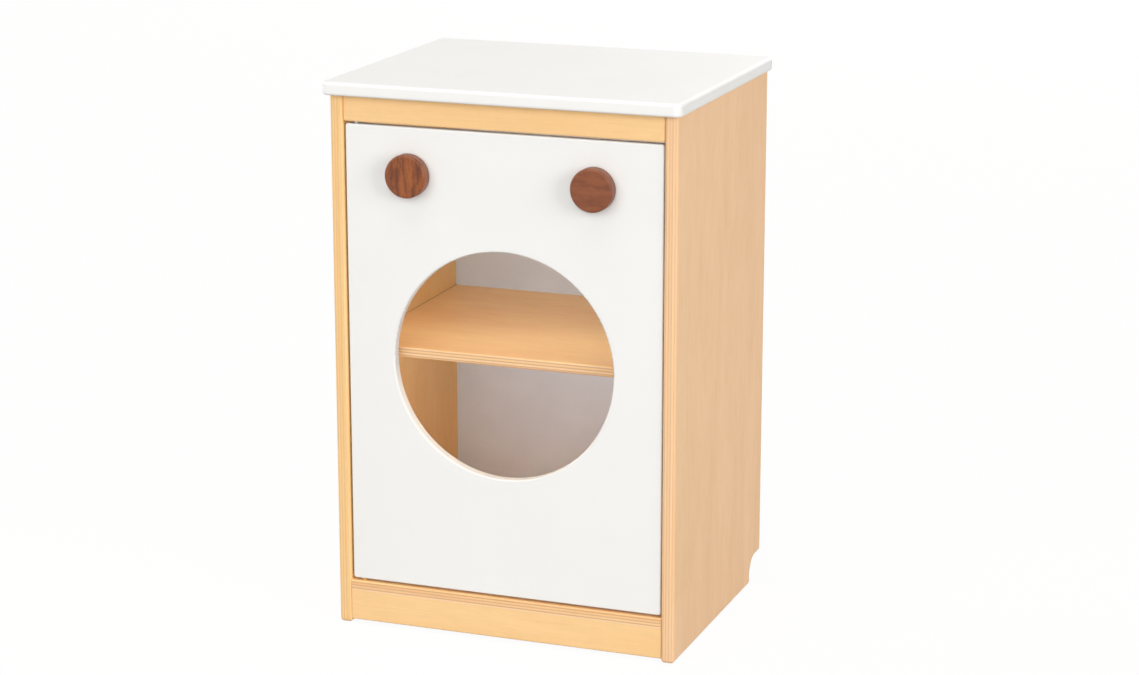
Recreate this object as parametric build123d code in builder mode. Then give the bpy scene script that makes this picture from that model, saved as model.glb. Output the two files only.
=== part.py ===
from build123d import *
import os
from math import hypot

# Toy washing machine: a small plywood cabinet with a porthole door and two turning knobs.
# Millimetres. +Z up, the door faces -Y, +X is on the viewer's right.
# The origin is the centre of the underside of the whole object's bounding box.

# ---------------------------------------------------------------- driving sizes: cabinet
carcass_width = 400.0  # over the outer faces of the two side panels
side_height = 607.0  # floor to the underside of the worktop
side_depth = 324.0  # front edge to rear edge of a side panel
side_thickness = 15.0
side_front_radius = 4.0  # rounding of a side panel's front and foot edges
side_rear_radius = 1.5

notch_depth = 40.0  # skirting notch at the rear foot of each side panel
notch_height = 31.0
notch_radius = 20.0
notch_mouth_radius = 3.0

top_thickness = 15.0
top_overhang_side = 6.0
top_overhang_front = 10.0
top_overhang_rear = 4.0
top_corner_radius = 9.0
top_upper_edge_radius = 4.0
top_lower_edge_radius = 3.0

front_recess = 1.5  # rail, base and plinth stand behind the side panels' front edges
base_top = 51.0  # floor to the upper face of the base
base_thickness = 12.0
plinth_thickness = 12.0
plinth_floor_gap = 4.0
rail_height = 29.0
rail_thickness = 15.0
rail_end_radius = 2.5  # rounding of the front rail's upright front edges
rear_rail_height = 60.0
rear_rail_thickness = 12.0
shelf_rise = 7.0  # porthole's centre to the shelf's upper face
shelf_thickness = 12.0
board_edge_radius = 2.0  # rounding of the boards' open front edges
board_joint_radius = 0.5  # rounding of front edges that meet another board

back_thickness = 3.0
back_inset = 4.0  # rear face of the back panel in front of the side panels' rear edges
back_groove_depth = 6.0
back_groove_clearance = 0.1
back_groove_end_clearance = 0.5

# ---------------------------------------------------------------- driving sizes: door
door_thickness = 12.0
door_recess = 3.0  # door face behind the side panels' front edges
door_hinge_gap = 2.0
door_latch_gap = 1.4
door_top_gap = 2.5
door_bottom_gap = 2.5
door_corner_radius = 3.0
door_edge_radius = 2.0
porthole_diameter = 256.0
porthole_drop = 261.0  # rail's lower face to the centre of the porthole
shelf_swing_clearance = 0.5  # between the shelf and the corner of the swinging door

pivot_inset = 11.0  # hinge axis in from the door's left edge
pin_radius = 2.5
pin_engagement = 14.0  # length of a pivot pin inside the door
pin_running_clearance = 0.05
pin_tip_chamfer = 0.6
bush_outer_radius = 4.0
bush_length = 16.0
pivot_plate_thickness = 1.5
pivot_plate_length = 40.0
pivot_plate_left = 7.0  # plate beyond the hinge axis towards the side panel
pivot_plate_front = 4.5  # plate in front of the hinge axis
pivot_plate_fit = 0.1  # clearance round a plate let into its board
pivot_plate_corner_radius = 1.5
lower_plate_depth = 34.0
lower_plate_screw_setback = 13.0  # screws behind the back of the door
lower_plate_screw_spacing = 24.0
upper_plate_tab = 16.0
upper_plate_bend_radius = 1.2
upper_plate_screw_rise = 10.0
upper_plate_screw_offsets = (14.0, 26.0)  # from the hinge axis
thrust_washer_radius = 4.0
thrust_running_gap = 0.1  # between the thrust washer and the door

# ---------------------------------------------------------------- driving sizes: knobs
knob_diameter = 48.0
knob_thickness = 13.0
knob_front_radius = 2.5
knob_back_radius = 1.0
knob_spacing = 214.0
knob_drop = 54.5  # rail's lower face to the knobs' axes
knob_bush_flange_radius = 7.0
knob_bush_flange_thickness = 1.5
knob_bush_radius = 4.0
knob_bolt_radius = 3.0
knob_bolt_head_radius = 5.5
knob_bolt_head_height = 3.3
knob_bolt_head_edge_radius = 2.0
knob_bolt_tip_chamfer = 0.5
knob_bolt_tip_inset = 1.2  # bolt tip short of the insert's far end
knob_socket_radius = 2.25  # hexagon socket, over its corners
knob_socket_depth = 2.0
knob_insert_radius = 4.5
knob_insert_length = 9.0
knob_washer_radius = 7.0
knob_washer_thickness = 1.2
knob_running_gap = 0.1  # along the axis, between turning and standing faces

# ---------------------------------------------------------------- driving sizes: catch
catch_drop = 33.0  # rail's lower face to the middle of the catch
catch_body_height = 28.0
catch_flange_height = 46.0
catch_flange_thickness = 4.0
catch_thickness = 16.0  # out from the side panel
catch_depth = 15.0
catch_corner_radius = 1.0
magnet_thickness = 5.0
magnet_height = 24.0
magnet_depth = 10.0
pole_plate_thickness = 1.5
pole_plate_reach = 1.0  # pole plates in front of the housing
catch_cavity_clearance = 0.05
strike_width = 12.0
strike_height = 36.0
strike_thickness = 1.2
strike_edge_margin = 2.0  # strike plate in from the door's right edge
strike_gap = 0.1

# ---------------------------------------------------------------- driving sizes: fixings
dowel_radius = 3.0
dowel_length = 30.0
dowel_depth_in_side = 9.5
dowel_depth_in_board = 21.0
dowel_clearance = 0.05
dowel_chamfer = 0.8
dowel_first_setback = 45.0
dowel_last_inset = 35.0  # last dowel in front of the boards' rear edge
dowels_per_board_end = 3
rail_dowel_spacing = 16.0
plinth_dowel_spacing = 18.0
rear_rail_dowel_spacing = 32.0

screw_radius = 1.5
screw_fit = 0.02  # radial clearance of a screw or pin in its hole
screw_tip_length = 2.5
pan_head_radius = 3.0
pan_head_height = 1.8
pan_head_rim = 0.6  # straight rim under the dome
flat_head_radius = 2.6
flat_head_fit = 0.06  # radial clearance of a countersunk head
flat_head_angle = 90.0
drive_slot_width = 0.6
drive_slot_depth = 0.8
bracket_leg = 20.0
bracket_width = 20.0
bracket_thickness = 2.0
bracket_bend_radius = 1.5
bracket_screw_length = 11.0
bracket_front_setback = 50.0
bracket_rear_inset = 56.0
back_screw_length = 13.0
back_screw_edge_inset = 35.0  # outer columns of screws in from the side panels
pivot_screw_length = 10.5
catch_screw_length = 13.0
strike_screw_length = 9.0
strike_screw_spacing = 24.0

# ---------------------------------------------------------------- derived places
inner_half = carcass_width / 2 - side_thickness
knob_standoff = knob_bush_flange_thickness + knob_running_gap
knob_reach = knob_thickness + knob_standoff - door_recess
front_reach = max(knob_reach, top_overhang_front)
front_y = (front_reach - side_depth - top_overhang_rear) / 2
rear_y = front_y + side_depth

board_front_y = front_y + front_recess
back_rear_y = rear_y - back_inset
back_front_y = back_rear_y - back_thickness

base_bottom = base_top - base_thickness
rail_bottom = side_height - rail_height
rail_back_y = board_front_y + rail_thickness

porthole_height = rail_bottom - porthole_drop
shelf_top = porthole_height + shelf_rise
knob_height = rail_bottom - knob_drop

door_front_y = front_y + door_recess
door_back_y = door_front_y + door_thickness
door_left = -inner_half + door_hinge_gap
door_right = inner_half - door_latch_gap
door_bottom = base_top + door_bottom_gap
door_top = rail_bottom - door_top_gap
pivot_x = door_left + pivot_inset
pivot_y = (door_front_y + door_back_y) / 2
shelf_front_y = pivot_y + hypot(pivot_inset, door_thickness / 2) + shelf_swing_clearance

knob_centres = (-knob_spacing / 2, knob_spacing / 2)
knob_back_y = door_front_y - knob_standoff
knob_head_y = door_back_y + knob_washer_thickness + knob_running_gap

catch_z = rail_bottom - catch_drop
strike_back_y = door_back_y + strike_thickness
pole_front_y = strike_back_y + strike_gap
catch_front_y = pole_front_y + pole_plate_reach
catch_screw_offset = (catch_body_height / 2 + catch_flange_height / 2) / 2  # middle of a flange end
catch_mid_x = inner_half - catch_thickness / 2
strike_mid_x = door_right - strike_edge_margin - strike_width / 2

lower_plate_screw_y = door_back_y + lower_plate_screw_setback
lower_plate_screws = [
    (pivot_x, lower_plate_screw_y),
    (pivot_x + lower_plate_screw_spacing, lower_plate_screw_y),
]
upper_plate_screws = [
    (pivot_x + offset, rail_bottom + upper_plate_screw_rise) for offset in upper_plate_screw_offsets
]


def spread(first, last, count):
    """Evenly spaced values from first to last."""
    return [first + (last - first) * step / (count - 1) for step in range(count)]


def pair(middle, spacing):
    """Two values, half the spacing below and above the middle."""
    return [middle - spacing / 2, middle + spacing / 2]


# Each dowelled board: the (y, z) places of the dowels at both of its ends.
board_dowel_rows = spread(
    front_y + dowel_first_setback,
    back_front_y - dowel_last_inset,
    dowels_per_board_end,
)
dowel_points = {
    "base": [(y, base_top - base_thickness / 2) for y in board_dowel_rows],
    "shelf": [(y, shelf_top - shelf_thickness / 2) for y in board_dowel_rows],
    "front_rail": [
        (board_front_y + rail_thickness / 2, z)
        for z in pair(side_height - rail_height / 2, rail_dowel_spacing)
    ],
    "rear_rail": [
        (back_front_y - rear_rail_thickness / 2, z)
        for z in pair(side_height - rear_rail_height / 2, rear_rail_dowel_spacing)
    ],
    "plinth": [
        (board_front_y + plinth_thickness / 2, z)
        for z in pair((plinth_floor_gap + base_bottom) / 2, plinth_dowel_spacing)
    ],
}
bracket_rows = (front_y + bracket_front_setback, back_front_y - bracket_rear_inset)
back_screw_columns = (-inner_half + back_screw_edge_inset, 0.0, inner_half - back_screw_edge_inset)
back_screw_rows = {
    "base": base_top - base_thickness / 2,
    "shelf": shelf_top - shelf_thickness / 2,
    "rear_rail": side_height - rear_rail_height / 2,
}


def save(piece, label):
    """Label a finished piece and write it as one STEP file."""
    piece.part.label = label
    export_step(piece.part, f"parts/{label}.step")


def dowel_planes(board, side, outward):
    """Planes on a side panel's inner face at one board's dowels, facing away from or into the cabinet."""
    direction = side if outward else -side
    return [
        Plane(origin=(side * inner_half, y, z), z_dir=(direction, 0, 0))
        for y, z in dowel_points[board]
    ]


def back_screw_planes(board, y):
    """Rear-facing planes at one board's back panel screws."""
    return [Plane(origin=(x, y, back_screw_rows[board]), z_dir=(0, 1, 0)) for x in back_screw_columns]


def bracket_side_screws(side):
    """Planes on a side panel's inner face at the worktop bracket screws, facing into the cabinet."""
    z = side_height - bracket_thickness - (bracket_leg - bracket_thickness) / 2
    return [Plane(origin=(side * inner_half, y, z), z_dir=(-side, 0, 0)) for y in bracket_rows]


def bracket_top_screws():
    """Downward-facing planes on the worktop's underside at the bracket screws."""
    reach = inner_half - bracket_thickness - (bracket_leg - bracket_thickness) / 2
    return [
        Plane(origin=(side * reach, y, side_height), z_dir=(0, 0, -1))
        for side in (-1, 1)
        for y in bracket_rows
    ]


def catch_screw_planes():
    """Planes on the right side panel's inner face at the catch screws, facing into the cabinet."""
    y = catch_front_y + catch_depth / 2
    return [
        Plane(origin=(inner_half, y, z), z_dir=(-1, 0, 0))
        for z in pair(catch_z, 2 * catch_screw_offset)
    ]


def drill_board_ends(board):
    """Dowel holes in both ends of a board, inside the board's own builder."""
    for side in (-1, 1):
        with Locations(*dowel_planes(board, side, outward=True)):
            Hole(radius=dowel_radius + dowel_clearance, depth=dowel_depth_in_board)


def raised(planes, height):
    """The same planes, each moved out along its own normal."""
    return [plane.offset(height) for plane in planes]


# ---------------------------------------------------------------- carcass
def make_side_panel(side, label):
    """Side panel: skirting notch, rounded front and foot, back groove and blind holes. side is -1 or 1."""
    with BuildPart() as panel:
        with BuildSketch(Plane.YZ.offset(side * inner_half)) as profile:
            with Locations((front_y, 0)):
                Rectangle(side_depth, side_height, align=(Align.MIN, Align.MIN))
            with Locations((rear_y, 0)):
                Rectangle(2 * notch_depth, 2 * notch_height, mode=Mode.SUBTRACT)
            notch_corner = profile.vertices().sort_by_distance((rear_y - notch_depth, notch_height))[0]
            fillet(notch_corner, radius=notch_radius)
            notch_mouth = profile.vertices().sort_by_distance((rear_y, notch_height))[0]
            fillet(notch_mouth, radius=notch_mouth_radius)
        extrude(amount=side * side_thickness)

        front_face = panel.faces().sort_by(Axis.Y)[0]
        front_edges = front_face.edges().sort_by(Axis.Z)[:-1]
        foot_edges = panel.faces().sort_by(Axis.Z)[0].edges().filter_by(Axis.Y)
        fillet(front_edges + foot_edges, radius=side_front_radius)
        rear_edges = panel.edges().filter_by(Axis.Z).group_by(Axis.Y)[-1]
        fillet(rear_edges, radius=side_rear_radius)

        groove_width = back_thickness + 2 * back_groove_clearance
        groove_height = side_height - base_bottom
        with Locations((side * inner_half, back_front_y - back_groove_clearance, base_bottom)):
            Box(
                2 * back_groove_depth,
                groove_width,
                groove_height,
                align=(Align.CENTER, Align.MIN, Align.MIN),
                mode=Mode.SUBTRACT,
            )
        for board in dowel_points:
            with Locations(*dowel_planes(board, side, outward=False)):
                Hole(radius=dowel_radius + dowel_clearance, depth=dowel_depth_in_side)
        with Locations(*bracket_side_screws(side)):
            Hole(radius=screw_radius + screw_fit, depth=bracket_screw_length - bracket_thickness)
        if side > 0:
            with Locations(*catch_screw_planes()):
                Hole(radius=screw_radius + screw_fit, depth=catch_screw_length - catch_flange_thickness)
    save(panel, label)


def board_between_sides(y_front, y_back, z_low, z_high, low_radius, high_radius, end_radius=0.0):
    """A plain board from side panel to side panel, with its lower and upper front edges rounded.

    An end radius rounds the upright front edges at its two ends as well."""
    with BuildPart() as board:
        with BuildSketch(Plane.XY.offset(z_low)) as outline:
            with Locations((0, (y_front + y_back) / 2)):
                Rectangle(2 * inner_half, y_back - y_front)
            if end_radius > 0:
                fillet(outline.vertices().group_by(Axis.Y)[0], radius=end_radius)
        extrude(amount=z_high - z_low)
        low_edge = board.edges().filter_by(Axis.X).group_by(Axis.Y)[0].sort_by(Axis.Z)[0]
        fillet(low_edge, radius=low_radius)
        high_edge = board.edges().filter_by(Axis.X).group_by(Axis.Y)[0].sort_by(Axis.Z)[-1]
        fillet(high_edge, radius=high_radius)
    return board.part


def make_base_panel():
    """Base: it closes the cabinet below. The door's lower pivot plate is let into its underside."""
    edge_radii = (board_joint_radius, board_edge_radius)
    with BuildPart() as base:
        add(board_between_sides(board_front_y, back_front_y, base_bottom, base_top, *edge_radii))
        drill_board_ends("base")
        with Locations(*back_screw_planes("base", back_front_y)):
            Hole(radius=screw_radius + screw_fit, depth=back_screw_length - back_thickness)
        with BuildSketch(Plane.XY.offset(base_bottom)):
            add(lower_plate_outline(pivot_plate_fit))
        extrude(amount=pivot_plate_thickness, mode=Mode.SUBTRACT)
        with Locations(*lower_screw_planes()):
            Hole(radius=screw_radius + screw_fit, depth=pivot_screw_length)
        with Locations((pivot_x, pivot_y, base_top)):
            Hole(radius=pin_radius + screw_fit, depth=base_thickness)
    save(base, "base_panel")


def make_shelf():
    """Fixed shelf, set back clear of the swinging corner of the door."""
    shelf_bottom = shelf_top - shelf_thickness
    edge_radii = (board_edge_radius, board_edge_radius)
    with BuildPart() as shelf:
        add(board_between_sides(shelf_front_y, back_front_y, shelf_bottom, shelf_top, *edge_radii))
        drill_board_ends("shelf")
        with Locations(*back_screw_planes("shelf", back_front_y)):
            Hole(radius=screw_radius + screw_fit, depth=back_screw_length - back_thickness)
    save(shelf, "shelf")


def make_front_rail():
    """Rail above the door, with the upper pivot plate let into its lower face and screwed to its back."""
    edge_radii = (board_edge_radius, board_joint_radius, rail_end_radius)
    with BuildPart() as rail:
        add(board_between_sides(board_front_y, rail_back_y, rail_bottom, side_height, *edge_radii))
        drill_board_ends("front_rail")
        pocket_front = pivot_y - pivot_plate_front - pivot_plate_fit
        with Locations((pivot_x - pivot_plate_left - pivot_plate_fit, pocket_front, rail_bottom)):
            Box(
                pivot_plate_length + 2 * pivot_plate_fit,
                rail_back_y - pocket_front,
                pivot_plate_thickness,
                align=(Align.MIN, Align.MIN, Align.MIN),
                mode=Mode.SUBTRACT,
            )
        with Locations(*upper_screw_planes(rail_back_y)):
            Hole(radius=screw_radius + screw_fit, depth=pivot_screw_length - pivot_plate_thickness)
    save(rail, "front_rail")


def make_rear_rail():
    """Rear rail under the worktop."""
    rail_front_y = back_front_y - rear_rail_thickness
    low_z = side_height - rear_rail_height
    edge_radii = (board_edge_radius, board_joint_radius)
    with BuildPart() as rail:
        add(board_between_sides(rail_front_y, back_front_y, low_z, side_height, *edge_radii))
        drill_board_ends("rear_rail")
        with Locations(*back_screw_planes("rear_rail", back_front_y)):
            Hole(radius=screw_radius + screw_fit, depth=back_screw_length - back_thickness)
    save(rail, "rear_rail")


def make_front_plinth():
    """Plinth strip under the front of the base."""
    plinth_back_y = board_front_y + plinth_thickness
    edge_radii = (board_edge_radius, board_joint_radius)
    with BuildPart() as plinth:
        add(board_between_sides(board_front_y, plinth_back_y, plinth_floor_gap, base_bottom, *edge_radii))
        drill_board_ends("plinth")
    save(plinth, "front_plinth")


def make_back_panel():
    """Thin back board, held in the side panels' grooves and screwed to the boards' rear edges."""
    half_width = inner_half + back_groove_depth - back_groove_end_clearance
    with BuildPart() as back:
        with BuildSketch(Plane.XZ.offset(-back_rear_y)):
            with Locations((0, base_bottom)):
                Rectangle(2 * half_width, side_height - base_bottom, align=(Align.CENTER, Align.MIN))
        extrude(amount=back_thickness)
        for board in back_screw_rows:
            with Locations(*back_screw_planes(board, back_rear_y)):
                Hole(radius=screw_radius + screw_fit, depth=back_thickness)
    save(back, "back_panel")


def make_worktop():
    """Worktop with rounded corners and edges."""
    top_width = carcass_width + 2 * top_overhang_side
    top_depth = side_depth + top_overhang_front + top_overhang_rear
    with BuildPart() as worktop:
        with BuildSketch(Plane.XY.offset(side_height)):
            with Locations((0, front_y - top_overhang_front)):
                RectangleRounded(top_width, top_depth, top_corner_radius, align=(Align.CENTER, Align.MIN))
        extrude(amount=top_thickness)
        fillet(worktop.faces().sort_by(Axis.Z)[-1].edges(), radius=top_upper_edge_radius)
        fillet(worktop.faces().sort_by(Axis.Z)[0].edges(), radius=top_lower_edge_radius)
        with Locations(*bracket_top_screws()):
            Hole(radius=screw_radius + screw_fit, depth=bracket_screw_length - bracket_thickness)
    save(worktop, "worktop")


# ---------------------------------------------------------------- fixings
def screw_blank(length, head_radius, head_height, countersunk):
    """A plain-shank screw along Z: head seat at z = 0, tip down. A countersunk head lies below z = 0."""
    head_top = 0.0 if countersunk else head_height
    shank_top = -head_height if countersunk else 0.0
    with BuildPart() as screw:
        with BuildSketch(Plane.XZ):
            with BuildLine():
                if countersunk:
                    Polyline((0, 0), (head_radius, 0), (screw_radius, shank_top))
                else:
                    TangentArc((0, head_height), (head_radius, pan_head_rim), tangent=(1, 0))
                    Polyline((head_radius, pan_head_rim), (head_radius, 0), (screw_radius, 0))
                shank_end = screw_tip_length - length
                Polyline((screw_radius, shank_top), (screw_radius, shank_end), (0, -length), (0, head_top))
            make_face()
        revolve(axis=Axis.Z)
        for turn in (0, 90):
            with Locations(Location((0, 0, head_top), (0, 0, turn))):
                Box(head_radius, drive_slot_width, 2 * drive_slot_depth, mode=Mode.SUBTRACT)
    return screw.part


def make_screw_group(label, planes, length, countersunk=False):
    """One group of identical screws, a screw on each plane with its head seated there."""
    if countersunk:
        blank = screw_blank(length, flat_head_radius, flat_head_radius - screw_radius, countersunk=True)
    else:
        blank = screw_blank(length, pan_head_radius, pan_head_height, countersunk=False)
    with BuildPart() as screws:
        with Locations(*planes):
            add(blank)
    save(screws, label)


def make_dowels():
    """Every carcass dowel, half in a side panel and half in a board's end."""
    middle_shift = (dowel_depth_in_side - dowel_depth_in_board) / 2
    with BuildPart() as dowel:
        Cylinder(radius=dowel_radius, height=dowel_length)
        chamfer(dowel.edges().filter_by(GeomType.CIRCLE), length=dowel_chamfer)
    with BuildPart() as dowels:
        for side in (-1, 1):
            for board in dowel_points:
                with Locations(*raised(dowel_planes(board, side, outward=True), middle_shift)):
                    add(dowel.part)
    save(dowels, "carcass_dowels")


def make_worktop_brackets():
    """Four steel angles in the top corners of the cabinet."""
    screw_reach = bracket_thickness + (bracket_leg - bracket_thickness) / 2
    with BuildPart() as bracket:
        with BuildSketch(Plane.XZ.offset(-bracket_width / 2)):
            with BuildLine():
                Polyline(
                    (0, 0),
                    (bracket_leg, 0),
                    (bracket_leg, -bracket_thickness),
                    (bracket_thickness, -bracket_thickness),
                    (bracket_thickness, -bracket_leg),
                    (0, -bracket_leg),
                    close=True,
                )
            make_face()
        extrude(amount=bracket_width)
        bend = (bracket_thickness, 0, -bracket_thickness)
        fillet(bracket.edges().filter_by(Axis.Y).sort_by_distance(bend)[0], radius=bracket_bend_radius)
        side_hole = Plane(origin=(bracket_thickness, 0, -screw_reach), z_dir=(1, 0, 0))
        top_hole = Plane(origin=(screw_reach, 0, -bracket_thickness), z_dir=(0, 0, -1))
        with Locations(side_hole, top_hole):
            Hole(radius=screw_radius + screw_fit, depth=bracket_thickness)
    with BuildPart() as brackets:
        for y in bracket_rows:
            with Locations(Location((-inner_half, y, side_height))):
                add(bracket.part)
            with Locations(Location((inner_half, y, side_height), (0, 0, 180))):
                add(bracket.part)
    save(brackets, "worktop_brackets")


# ---------------------------------------------------------------- door and its pivots
def make_door():
    """Door with the porthole, pivot bush sockets and knob holes."""
    with BuildPart() as door:
        with BuildSketch(Plane.XZ.offset(-door_back_y)):
            with Locations((door_left, door_bottom)):
                Rectangle(door_right - door_left, door_top - door_bottom, align=(Align.MIN, Align.MIN))
        extrude(amount=door_thickness)
        fillet(door.edges().filter_by(Axis.Y), radius=door_corner_radius)
        front_and_back = door.faces().filter_by(Axis.Y)
        fillet(front_and_back.edges(), radius=door_edge_radius)
        with Locations(Plane(origin=(0, door_front_y, porthole_height), z_dir=(0, -1, 0))):
            Hole(radius=porthole_diameter / 2, depth=door_thickness)
        rims = door.edges().filter_by(GeomType.CIRCLE).filter_by(
            lambda edge: edge.radius > porthole_diameter / 2 - door_edge_radius
        )
        fillet(rims, radius=door_edge_radius)
        socket_planes = [
            Plane(origin=(pivot_x, pivot_y, door_bottom), z_dir=(0, 0, -1)),
            Plane(origin=(pivot_x, pivot_y, door_top), z_dir=(0, 0, 1)),
        ]
        with Locations(*socket_planes):
            Hole(radius=bush_outer_radius + screw_fit, depth=bush_length)
        knob_planes = [Plane(origin=(x, door_back_y, knob_height), z_dir=(0, 1, 0)) for x in knob_centres]
        with Locations(*knob_planes):
            Hole(radius=knob_bush_radius + screw_fit, depth=door_thickness)
        with Locations(*strike_screw_planes(door_back_y)):
            Hole(radius=screw_radius + screw_fit, depth=strike_screw_length - strike_thickness)
    save(door, "door")


def tube(plane, outer_radius, inner_radius, length):
    """A plain tube standing on a plane."""
    with BuildPart() as ring:
        with BuildSketch(plane):
            Circle(outer_radius)
            Circle(inner_radius, mode=Mode.SUBTRACT)
        extrude(amount=length)
    return ring.part


def make_bush(label, mouth_z, up):
    """A pivot bush in the door's upper edge (up is 1) or lower edge (up is -1)."""
    plane = Plane(origin=(pivot_x, pivot_y, mouth_z), z_dir=(0, 0, -up))
    with BuildPart() as bush:
        add(tube(plane, bush_outer_radius, pin_radius + pin_running_clearance, bush_length))
    save(bush, f"{label}_pivot_bush")


def lower_plate_outline(margin):
    """The lower pivot plate's outline, or with a margin the outline of its pocket."""
    with BuildSketch() as outline:
        with Locations((pivot_x - pivot_plate_left - margin, pivot_y - pivot_plate_front - margin)):
            Rectangle(
                pivot_plate_length + 2 * margin,
                lower_plate_depth + 2 * margin,
                align=(Align.MIN, Align.MIN),
            )
        fillet(outline.vertices(), radius=pivot_plate_corner_radius + margin)
    return outline.sketch


def make_pin(label, root_z, tip_z):
    """A pivot pin from its root in the plate to its chamfered tip in the door."""
    with BuildPart() as pin:
        with BuildSketch(Plane.XY.offset(root_z)):
            with Locations((pivot_x, pivot_y)):
                Circle(pin_radius)
        extrude(amount=tip_z - root_z)
        tip = pin.faces().sort_by_distance((pivot_x, pivot_y, tip_z))[0]
        chamfer(tip.edges(), length=pin_tip_chamfer)
    save(pin, f"{label}_pivot_pin")


def make_lower_pivot():
    """Lower pivot: plate under the base, pin up through the base, thrust washer and bush."""
    with BuildPart() as plate:
        with BuildSketch(Plane.XY.offset(base_bottom)):
            add(lower_plate_outline(0))
        extrude(amount=pivot_plate_thickness)
        with Locations((pivot_x, pivot_y, base_bottom + pivot_plate_thickness)):
            Hole(radius=pin_radius + screw_fit, depth=pivot_plate_thickness)
        with Locations(*lower_screw_planes()):
            CounterSinkHole(
                radius=screw_radius + screw_fit,
                counter_sink_radius=flat_head_radius + flat_head_fit,
                depth=pivot_plate_thickness,
                counter_sink_angle=flat_head_angle,
            )
    save(plate, "lower_pivot_plate")
    make_pin("lower", base_bottom, door_bottom + pin_engagement)
    washer_plane = Plane(origin=(pivot_x, pivot_y, base_top))
    bore_radius = pin_radius + pin_running_clearance
    with BuildPart() as washer:
        add(tube(washer_plane, thrust_washer_radius, bore_radius, door_bottom_gap - thrust_running_gap))
    save(washer, "lower_pivot_washer")
    make_bush("lower", door_bottom, up=-1)


def make_upper_pivot():
    """Upper pivot: plate let into the front rail with a tab up its back, pin and bush."""
    plate_left = pivot_x - pivot_plate_left
    plate_front = pivot_y - pivot_plate_front
    with BuildPart() as plate:
        with BuildSketch(Plane.XY.offset(rail_bottom)):
            with Locations((plate_left, plate_front)):
                Rectangle(
                    pivot_plate_length,
                    rail_back_y + pivot_plate_thickness - plate_front,
                    align=(Align.MIN, Align.MIN),
                )
        extrude(amount=pivot_plate_thickness)
        with BuildSketch(Plane.XY.offset(rail_bottom + pivot_plate_thickness)):
            with Locations((plate_left, rail_back_y)):
                Rectangle(pivot_plate_length, pivot_plate_thickness, align=(Align.MIN, Align.MIN))
        extrude(amount=upper_plate_tab)
        bend = plate.edges().filter_by(Axis.X).group_by(Axis.Y)[-1].sort_by(Axis.Z)[0]
        fillet(bend, radius=upper_plate_bend_radius)
        with Locations((pivot_x, pivot_y, rail_bottom + pivot_plate_thickness)):
            Hole(radius=pin_radius + screw_fit, depth=pivot_plate_thickness)
        with Locations(*upper_screw_planes(rail_back_y + pivot_plate_thickness)):
            CounterSinkHole(
                radius=screw_radius + screw_fit,
                counter_sink_radius=flat_head_radius + flat_head_fit,
                depth=pivot_plate_thickness,
                counter_sink_angle=flat_head_angle,
            )
    save(plate, "upper_pivot_plate")
    make_pin("upper", rail_bottom + pivot_plate_thickness, door_top - pin_engagement)
    make_bush("upper", door_top, up=1)


def upper_screw_planes(y):
    """Rear-facing planes at the upper pivot plate's screws."""
    return [Plane(origin=(x, y, z), z_dir=(0, 1, 0)) for x, z in upper_plate_screws]


def lower_screw_planes():
    """Downward-facing planes on the lower pivot plate at its screws."""
    return [Plane(origin=(x, y, base_bottom), z_dir=(0, 0, -1)) for x, y in lower_plate_screws]


# ---------------------------------------------------------------- knobs
def make_knob(name, x):
    """One turning knob: the wooden disc, its threaded insert, bolt, flanged bush and washer."""
    with BuildPart() as knob:
        with BuildSketch(Plane.XZ.offset(-knob_back_y)):
            with Locations((x, knob_height)):
                Circle(knob_diameter / 2)
        extrude(amount=knob_thickness)
        fillet(knob.faces().sort_by(Axis.Y)[0].edges(), radius=knob_front_radius)
        fillet(knob.faces().sort_by(Axis.Y)[-1].edges(), radius=knob_back_radius)
        with Locations(Plane(origin=(x, knob_back_y, knob_height), z_dir=(0, 1, 0))):
            Hole(radius=knob_insert_radius + screw_fit, depth=knob_insert_length)
    save(knob, f"{name}_knob")

    insert_plane = Plane(origin=(x, knob_back_y, knob_height), z_dir=(0, -1, 0))
    with BuildPart() as insert:
        add(tube(insert_plane, knob_insert_radius, knob_bolt_radius + screw_fit, knob_insert_length))
    save(insert, f"{name}_knob_insert")

    thread_end_y = knob_back_y - knob_insert_length + knob_bolt_tip_inset
    with BuildPart() as bolt:
        with BuildSketch(Plane.XZ.offset(-knob_head_y)):
            with Locations((x, knob_height)):
                Circle(knob_bolt_radius)
        extrude(amount=knob_head_y - thread_end_y)
        chamfer(bolt.faces().sort_by(Axis.Y)[0].edges(), length=knob_bolt_tip_chamfer)
        with BuildSketch(Plane.XZ.offset(-knob_head_y)):
            with Locations((x, knob_height)):
                Circle(knob_bolt_head_radius)
        extrude(amount=-knob_bolt_head_height)
        head_face = bolt.faces().sort_by(Axis.Y)[-1]
        fillet(head_face.edges(), radius=knob_bolt_head_edge_radius)
        with BuildSketch(Plane.XZ.offset(-knob_head_y - knob_bolt_head_height)):
            with Locations((x, knob_height)):
                RegularPolygon(radius=knob_socket_radius, side_count=6)
        extrude(amount=knob_socket_depth, mode=Mode.SUBTRACT)
    save(bolt, f"{name}_knob_bolt")

    bore_radius = knob_bolt_radius + pin_running_clearance
    face_plane = Plane(origin=(x, door_front_y, knob_height), z_dir=(0, -1, 0))
    with BuildPart() as bush:
        add(tube(face_plane, knob_bush_flange_radius, bore_radius, knob_bush_flange_thickness))
        add(tube(face_plane, knob_bush_radius, bore_radius, -door_thickness))
    save(bush, f"{name}_knob_bush")

    washer_plane = Plane(origin=(x, door_back_y, knob_height), z_dir=(0, 1, 0))
    with BuildPart() as washer:
        add(tube(washer_plane, knob_washer_radius, bore_radius, knob_washer_thickness))
    save(washer, f"{name}_knob_washer")


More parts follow.
